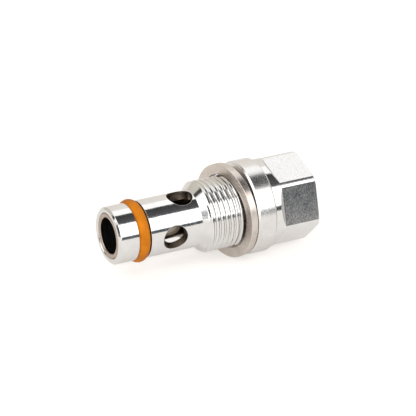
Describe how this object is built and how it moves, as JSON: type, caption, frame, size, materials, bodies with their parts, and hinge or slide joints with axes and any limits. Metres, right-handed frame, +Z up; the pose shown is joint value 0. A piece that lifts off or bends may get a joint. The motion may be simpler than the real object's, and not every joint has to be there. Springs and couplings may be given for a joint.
{
  "type": "cartridge valve",
  "caption": "Screw-in cartridge valve: ported cylindrical nose with seal ring, threaded body with collar and sealing washer, hexagon head and spring-loaded poppet.",
  "frame": {"origin": "centre of the collar's seat face, on the valve axis", "axes": "+X along the valve axis from the nose towards the hexagon head, +Z up, -Y the front"},
  "size_m": [0.0591, 0.0264, 0.0264],
  "materials": {
    "plated_steel": "bright plated, turned",
    "plain_steel": "ground steel",
    "washer_metal": "dull plated, slightly warm",
    "spring_steel": "drawn wire and blued strip",
    "bronze": "machined bronze",
    "orange_rubber": "moulded, satin",
    "black_rubber": "moulded, satin",
    "white_plastic": "machined"
  },
  "bodies": {
    "valve": {"valve_body": "plated_steel", "seat_ring": "washer_metal", "nose_o_ring": "orange_rubber", "head_cap": "plated_steel", "cap_o_ring": "black_rubber", "guide_bush": "bronze", "bush_o_ring": "black_rubber", "stem_o_ring": "black_rubber", "backup_ring": "white_plastic", "bush_retaining_ring": "spring_steel", "valve_spring": "spring_steel"},
    "poppet_assembly": {"poppet": "plain_steel", "poppet_seal": "black_rubber", "front_spring_plate": "plain_steel", "stem_clip": "spring_steel"},
    "spring_adjuster": {"rear_spring_plate": "plain_steel", "plate_o_ring": "black_rubber", "thrust_ball": "plain_steel"},
    "adjusting_screw": {"adjusting_screw": "plain_steel"},
    "lock_ring": {"lock_ring": "plain_steel"},
    "sealing_washer": {"sealing_washer": "washer_metal"}
  },
  "joints": [
    {"name": "poppet_lift", "type": "slide", "parent": "valve", "child": "poppet_assembly", "axis": [1, 0, 0], "range_m": [0, 0.0012], "stiffness_N_per_m": 2000, "springref_m": -0.003, "deforming": ["valve_spring"]},
    {"name": "adjuster_travel", "type": "slide", "parent": "valve", "child": "spring_adjuster", "axis": [-1, 0, 0], "range_m": [-0.0005, 0.002], "deforming": ["valve_spring"]},
    {"name": "adjuster_turn", "type": "hinge", "parent": "spring_adjuster", "child": "adjusting_screw", "pos_m": [0.015, 0, 0], "axis": [-1, 0, 0], "range_deg": [-183.6, 723.6]},
    {"name": "lock_ring_turn", "type": "hinge", "parent": "valve", "child": "lock_ring", "pos_m": [0.018, 0, 0], "axis": [1, 0, 0], "range_deg": [0, 180]},
    {"name": "washer_tilt", "type": "hinge", "parent": "valve", "child": "sealing_washer", "pos_m": [-0.00002, -0.0119, 0], "axis": [0, 0, 1], "range_deg": [-8.6, 0]}
  ],
  "couplings": [
    {"joint": "adjuster_turn", "follows": "adjuster_travel", "rad_per_m": 6283.2}
  ]
}
